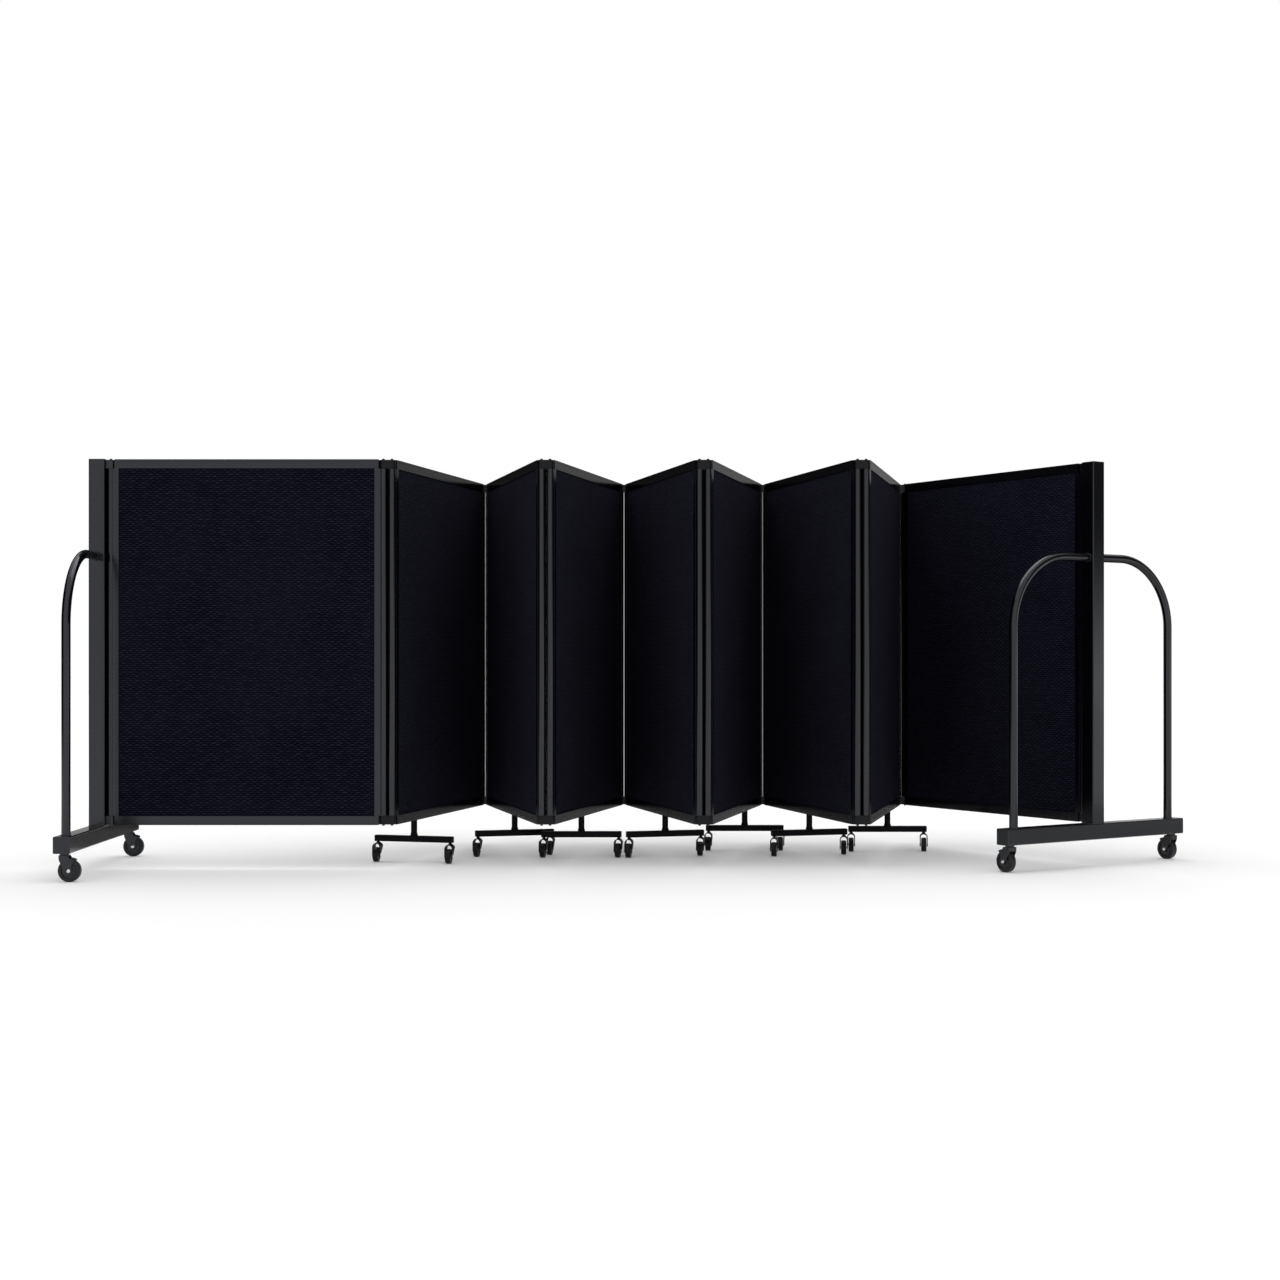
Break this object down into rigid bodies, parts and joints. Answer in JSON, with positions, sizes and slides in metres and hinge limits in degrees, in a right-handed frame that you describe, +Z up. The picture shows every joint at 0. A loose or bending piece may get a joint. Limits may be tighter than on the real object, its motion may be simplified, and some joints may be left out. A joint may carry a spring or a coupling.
{
  "type": "accordion folding partition",
  "caption": "Free-standing accordion room divider: hinged fabric panels zigzag between two arched end frames on casters, with small T feet under the panels.",
  "frame": {"origin": "on the floor, at the centre of the bounding box of the pictured pose", "axes": "+Z up, +X along the row from the left end frame to the right one, +Y away from the front hinges"},
  "size_m": [3.3368, 1.1728, 1.2222],
  "materials": {
    "frame_black": "gloss black coating",
    "panel_cloth": "dark navy woven cloth over a rigid board",
    "hinge_black": "satin black",
    "tube_black": "gloss black",
    "foot_black": "gloss black",
    "caster_black": "satin black, bright axle ends",
    "wheel_black": "hard black wheel"
  },
  "bodies": {
    "link_1": {"hinge_link_1": "hinge_black"},
    "link_2": {"hinge_link_2": "hinge_black"},
    "link_3": {"hinge_link_3": "hinge_black"},
    "link_4": {"hinge_link_4": "hinge_black"},
    "link_5": {"hinge_link_5": "hinge_black"},
    "link_6": {"hinge_link_6": "hinge_black"},
    "link_7": {"hinge_link_7": "hinge_black"},
    "link_8": {"hinge_link_8": "hinge_black"},
    "panel_1": {"panel_frame_1": "frame_black", "fabric_board_1": "panel_cloth"},
    "panel_2": {"panel_frame_2": "frame_black", "fabric_board_2": "panel_cloth"},
    "panel_3": {"panel_frame_3": "frame_black", "fabric_board_3": "panel_cloth"},
    "panel_4": {"panel_frame_4": "frame_black", "fabric_board_4": "panel_cloth"},
    "panel_5": {"panel_frame_5": "frame_black", "fabric_board_5": "panel_cloth"},
    "panel_6": {"panel_frame_6": "frame_black", "fabric_board_6": "panel_cloth"},
    "panel_7": {"panel_frame_7": "frame_black", "fabric_board_7": "panel_cloth"},
    "panel_8": {"panel_frame_8": "frame_black", "fabric_board_8": "panel_cloth"},
    "panel_9": {"panel_frame_9": "frame_black", "fabric_board_9": "panel_cloth"},
    "foot_2": {"t_foot_2": "foot_black"},
    "foot_wheel_2a": {"foot_wheel_2a": "wheel_black"},
    "foot_wheel_2b": {"foot_wheel_2b": "wheel_black"},
    "foot_3": {"t_foot_3": "foot_black"},
    "foot_wheel_3a": {"foot_wheel_3a": "wheel_black"},
    "foot_wheel_3b": {"foot_wheel_3b": "wheel_black"},
    "foot_4": {"t_foot_4": "foot_black"},
    "foot_wheel_4a": {"foot_wheel_4a": "wheel_black"},
    "foot_wheel_4b": {"foot_wheel_4b": "wheel_black"},
    "foot_5": {"t_foot_5": "foot_black"},
    "foot_wheel_5a": {"foot_wheel_5a": "wheel_black"},
    "foot_wheel_5b": {"foot_wheel_5b": "wheel_black"},
    "foot_6": {"t_foot_6": "foot_black"},
    "foot_wheel_6a": {"foot_wheel_6a": "wheel_black"},
    "foot_wheel_6b": {"foot_wheel_6b": "wheel_black"},
    "foot_7": {"t_foot_7": "foot_black"},
    "foot_wheel_7a": {"foot_wheel_7a": "wheel_black"},
    "foot_wheel_7b": {"foot_wheel_7b": "wheel_black"},
    "foot_8": {"t_foot_8": "foot_black"},
    "foot_wheel_8a": {"foot_wheel_8a": "wheel_black"},
    "foot_wheel_8b": {"foot_wheel_8b": "wheel_black"},
    "end_frame_left": {"end_post_left": "tube_black", "base_frame_left": "tube_black"},
    "caster_left_front": {"caster_fork_left_front": "caster_black"},
    "caster_wheel_left_front": {"caster_wheel_left_front": "wheel_black"},
    "caster_left_rear": {"caster_fork_left_rear": "caster_black"},
    "caster_wheel_left_rear": {"caster_wheel_left_rear": "wheel_black"},
    "end_frame_right": {"end_post_right": "tube_black", "base_frame_right": "tube_black"},
    "caster_right_front": {"caster_fork_right_front": "caster_black"},
    "caster_wheel_right_front": {"caster_wheel_right_front": "wheel_black"},
    "caster_right_rear": {"caster_fork_right_rear": "caster_black"},
    "caster_wheel_right_rear": {"caster_wheel_right_rear": "wheel_black"}
  },
  "joints": [
    {"name": "panel_5_turn", "type": "hinge", "parent": "link_4", "child": "panel_5", "pos_m": [-0.06217, 0.5737, 0.6096], "axis": [0, 0, 1], "range_deg": [0, 75]},
    {"name": "link_5_turn", "type": "hinge", "parent": "panel_5", "child": "link_5", "pos_m": [0.1482, -0.2114, 0.6096], "axis": [0, 0, -1], "range_deg": [0, 75]},
    {"name": "panel_6_turn", "type": "hinge", "parent": "link_5", "child": "panel_6", "pos_m": [0.1736, -0.2114, 0.6096], "axis": [0, 0, -1], "range_deg": [0, 75]},
    {"name": "link_6_turn", "type": "hinge", "parent": "panel_6", "child": "link_6", "pos_m": [0.38397, 0.5737, 0.6096], "axis": [0, 0, 1], "range_deg": [0, 75]},
    {"name": "panel_7_turn", "type": "hinge", "parent": "link_6", "child": "panel_7", "pos_m": [0.40937, 0.5737, 0.6096], "axis": [0, 0, 1], "range_deg": [0, 75]},
    {"name": "link_7_turn", "type": "hinge", "parent": "panel_7", "child": "link_7", "pos_m": [0.61974, -0.2114, 0.6096], "axis": [0, 0, -1], "range_deg": [0, 75]},
    {"name": "panel_8_turn", "type": "hinge", "parent": "link_7", "child": "panel_8", "pos_m": [0.64514, -0.2114, 0.6096], "axis": [0, 0, -1], "range_deg": [0, 75]},
    {"name": "link_8_turn", "type": "hinge", "parent": "panel_8", "child": "link_8", "pos_m": [0.8555, 0.5737, 0.6096], "axis": [0, 0, 1], "range_deg": [0, 75]},
    {"name": "panel_4_turn", "type": "hinge", "parent": "link_4", "child": "panel_4", "pos_m": [-0.08757, 0.5737, 0.6096], "axis": [0, 0, -1], "range_deg": [0, 75]},
    {"name": "link_3_turn", "type": "hinge", "parent": "panel_4", "child": "link_3", "pos_m": [-0.29794, -0.2114, 0.6096], "axis": [0, 0, 1], "range_deg": [0, 75]},
    {"name": "panel_3_turn", "type": "hinge", "parent": "link_3", "child": "panel_3", "pos_m": [-0.32333, -0.2114, 0.6096], "axis": [0, 0, 1], "range_deg": [0, 75]},
    {"name": "link_2_turn", "type": "hinge", "parent": "panel_3", "child": "link_2", "pos_m": [-0.5337, 0.5737, 0.6096], "axis": [0, 0, -1], "range_deg": [0, 75]},
    {"name": "panel_2_turn", "type": "hinge", "parent": "link_2", "child": "panel_2", "pos_m": [-0.5591, 0.5737, 0.6096], "axis": [0, 0, -1], "range_deg": [0, 75]},
    {"name": "link_1_turn", "type": "hinge", "parent": "panel_2", "child": "link_1", "pos_m": [-0.76947, -0.2114, 0.6096], "axis": [0, 0, 1], "range_deg": [0, 75]},
    {"name": "panel_1_swing", "type": "hinge", "parent": "link_1", "child": "panel_1", "pos_m": [-0.79487, -0.2114, 0.6096], "axis": [0, 0, 1], "range_deg": [-90, 90]},
    {"name": "panel_9_swing", "type": "hinge", "parent": "link_8", "child": "panel_9", "pos_m": [0.88091, 0.5737, 0.6096], "axis": [0, 0, 1], "range_deg": [-15, 147]},
    {"name": "end_frame_left_swing", "type": "hinge", "parent": "panel_1", "child": "end_frame_left", "pos_m": [-1.60767, -0.2114, 0.6096], "axis": [0, 0, 1], "range_deg": [-90, 90]},
    {"name": "end_frame_right_swing", "type": "hinge", "parent": "panel_9", "child": "end_frame_right", "pos_m": [1.32001, -0.11028, 0.6096], "axis": [0, 0, 1], "range_deg": [-90, 90]},
    {"name": "foot_2_swivel", "type": "hinge", "parent": "panel_2", "child": "foot_2", "pos_m": [-0.72262, -0.03657, 0.1295], "axis": [0, 0, 1], "range_deg": [0, 90]},
    {"name": "foot_wheel_2a_spin", "type": "hinge", "parent": "foot_2", "child": "foot_wheel_2a", "pos_m": [-0.83953, -0.02683, 0.0225], "axis": [-0.9903, 0.1392, 0], "continuous": true},
    {"name": "foot_wheel_2b_spin", "type": "hinge", "parent": "foot_2", "child": "foot_wheel_2b", "pos_m": [-0.61157, -0.08791, 0.0225], "axis": [-0.9903, 0.1392, 0], "continuous": true},
    {"name": "foot_3_swivel", "type": "hinge", "parent": "panel_3", "child": "foot_3", "pos_m": [-0.42428, 0.16531, 0.1295], "axis": [0, 0, 1], "range_deg": [0, 90]},
    {"name": "foot_wheel_3a_spin", "type": "hinge", "parent": "foot_3", "child": "foot_wheel_3a", "pos_m": [-0.54118, 0.11397, 0.0225], "axis": [-0.9903, 0.1392, 0], "continuous": true},
    {"name": "foot_wheel_3b_spin", "type": "hinge", "parent": "foot_3", "child": "foot_wheel_3b", "pos_m": [-0.31322, 0.17505, 0.0225], "axis": [-0.9903, 0.1392, 0], "continuous": true},
    {"name": "foot_4_swivel", "type": "hinge", "parent": "panel_4", "child": "foot_4", "pos_m": [-0.21071, 0.11411, 0.1295], "axis": [0, 0, 1], "range_deg": [0, 75]},
    {"name": "foot_wheel_4a_spin", "type": "hinge", "parent": "foot_4", "child": "foot_wheel_4a", "pos_m": [-0.33164, 0.09332, 0.0225], "axis": [-0.9903, 0.1392, 0], "continuous": true},
    {"name": "foot_wheel_4b_spin", "type": "hinge", "parent": "foot_4", "child": "foot_wheel_4b", "pos_m": [-0.09564, 0.09332, 0.0225], "axis": [-0.9903, 0.1392, 0], "continuous": true},
    {"name": "foot_5_swivel", "type": "hinge", "parent": "panel_5", "child": "foot_5", "pos_m": [0.05451, 0.13826, 0.1295], "axis": [0, 0, 1], "range_deg": [0, 90]},
    {"name": "foot_wheel_5a_spin", "type": "hinge", "parent": "foot_5", "child": "foot_wheel_5a", "pos_m": [-0.06239, 0.08693, 0.0225], "axis": [-0.9903, 0.1392, 0], "continuous": true},
    {"name": "foot_wheel_5b_spin", "type": "hinge", "parent": "foot_5", "child": "foot_wheel_5b", "pos_m": [0.16556, 0.14801, 0.0225], "axis": [-0.9903, 0.1392, 0], "continuous": true},
    {"name": "foot_6_swivel", "type": "hinge", "parent": "panel_6", "child": "foot_6", "pos_m": [0.31957, 0.33338, 0.1295], "axis": [0, 0, 1], "range_deg": [-15, 75]},
    {"name": "foot_wheel_6a_spin", "type": "hinge", "parent": "foot_6", "child": "foot_wheel_6a", "pos_m": [0.19865, 0.31258, 0.0225], "axis": [-0.9903, 0.1392, 0], "continuous": true},
    {"name": "foot_wheel_6b_spin", "type": "hinge", "parent": "foot_6", "child": "foot_wheel_6b", "pos_m": [0.43465, 0.31258, 0.0225], "axis": [-0.9903, 0.1392, 0], "continuous": true},
    {"name": "foot_7_swivel", "type": "hinge", "parent": "panel_7", "child": "foot_7", "pos_m": [0.51543, 0.17787, 0.1295], "axis": [0, 0, 1], "range_deg": [0, 90]},
    {"name": "foot_wheel_7a_spin", "type": "hinge", "parent": "foot_7", "child": "foot_wheel_7a", "pos_m": [0.39853, 0.12653, 0.0225], "axis": [-0.9903, 0.1392, 0], "continuous": true},
    {"name": "foot_wheel_7b_spin", "type": "hinge", "parent": "foot_7", "child": "foot_wheel_7b", "pos_m": [0.62649, 0.18761, 0.0225], "axis": [-0.9903, 0.1392, 0], "continuous": true},
    {"name": "foot_8_swivel", "type": "hinge", "parent": "panel_8", "child": "foot_8", "pos_m": [0.78257, 0.3015, 0.1295], "axis": [0, 0, 1], "range_deg": [-15, 75]},
    {"name": "foot_wheel_8a_spin", "type": "hinge", "parent": "foot_8", "child": "foot_wheel_8a", "pos_m": [0.66165, 0.28071, 0.0225], "axis": [-0.9903, 0.1392, 0], "continuous": true},
    {"name": "foot_wheel_8b_spin", "type": "hinge", "parent": "foot_8", "child": "foot_wheel_8b", "pos_m": [0.89765, 0.28071, 0.0225], "axis": [-0.9903, 0.1392, 0], "continuous": true},
    {"name": "caster_left_front_swivel", "type": "hinge", "parent": "end_frame_left", "child": "caster_left_front", "pos_m": [-1.64437, -0.5564, 0.081], "axis": [0, 0, 1], "continuous": true},
    {"name": "caster_wheel_left_front_spin", "type": "hinge", "parent": "caster_left_front", "child": "caster_wheel_left_front", "pos_m": [-1.62937, -0.5564, 0.03175], "axis": [0, 1, 0], "continuous": true},
    {"name": "caster_left_rear_swivel", "type": "hinge", "parent": "end_frame_left", "child": "caster_left_rear", "pos_m": [-1.64437, 0.1336, 0.081], "axis": [0, 0, 1], "continuous": true},
    {"name": "caster_wheel_left_rear_spin", "type": "hinge", "parent": "caster_left_rear", "child": "caster_wheel_left_rear", "pos_m": [-1.62937, 0.1336, 0.03175], "axis": [0, 1, 0], "continuous": true},
    {"name": "caster_right_front_swivel", "type": "hinge", "parent": "end_frame_right", "child": "caster_right_front", "pos_m": [1.04952, -0.32754, 0.081], "axis": [0, 0, 1], "continuous": true},
    {"name": "caster_wheel_right_front_spin", "type": "hinge", "parent": "caster_right_front", "child": "caster_wheel_right_front", "pos_m": [1.04141, -0.31492, 0.03175], "axis": [-0.8415, -0.5402, 0], "continuous": true},
    {"name": "caster_right_rear_swivel", "type": "hinge", "parent": "end_frame_right", "child": "caster_right_rear", "pos_m": [1.63016, 0.04522, 0.081], "axis": [0, 0, 1], "continuous": true},
    {"name": "caster_wheel_right_rear_spin", "type": "hinge", "parent": "caster_right_rear", "child": "caster_wheel_right_rear", "pos_m": [1.62206, 0.05784, 0.03175], "axis": [-0.8415, -0.5402, 0], "continuous": true}
  ]
}
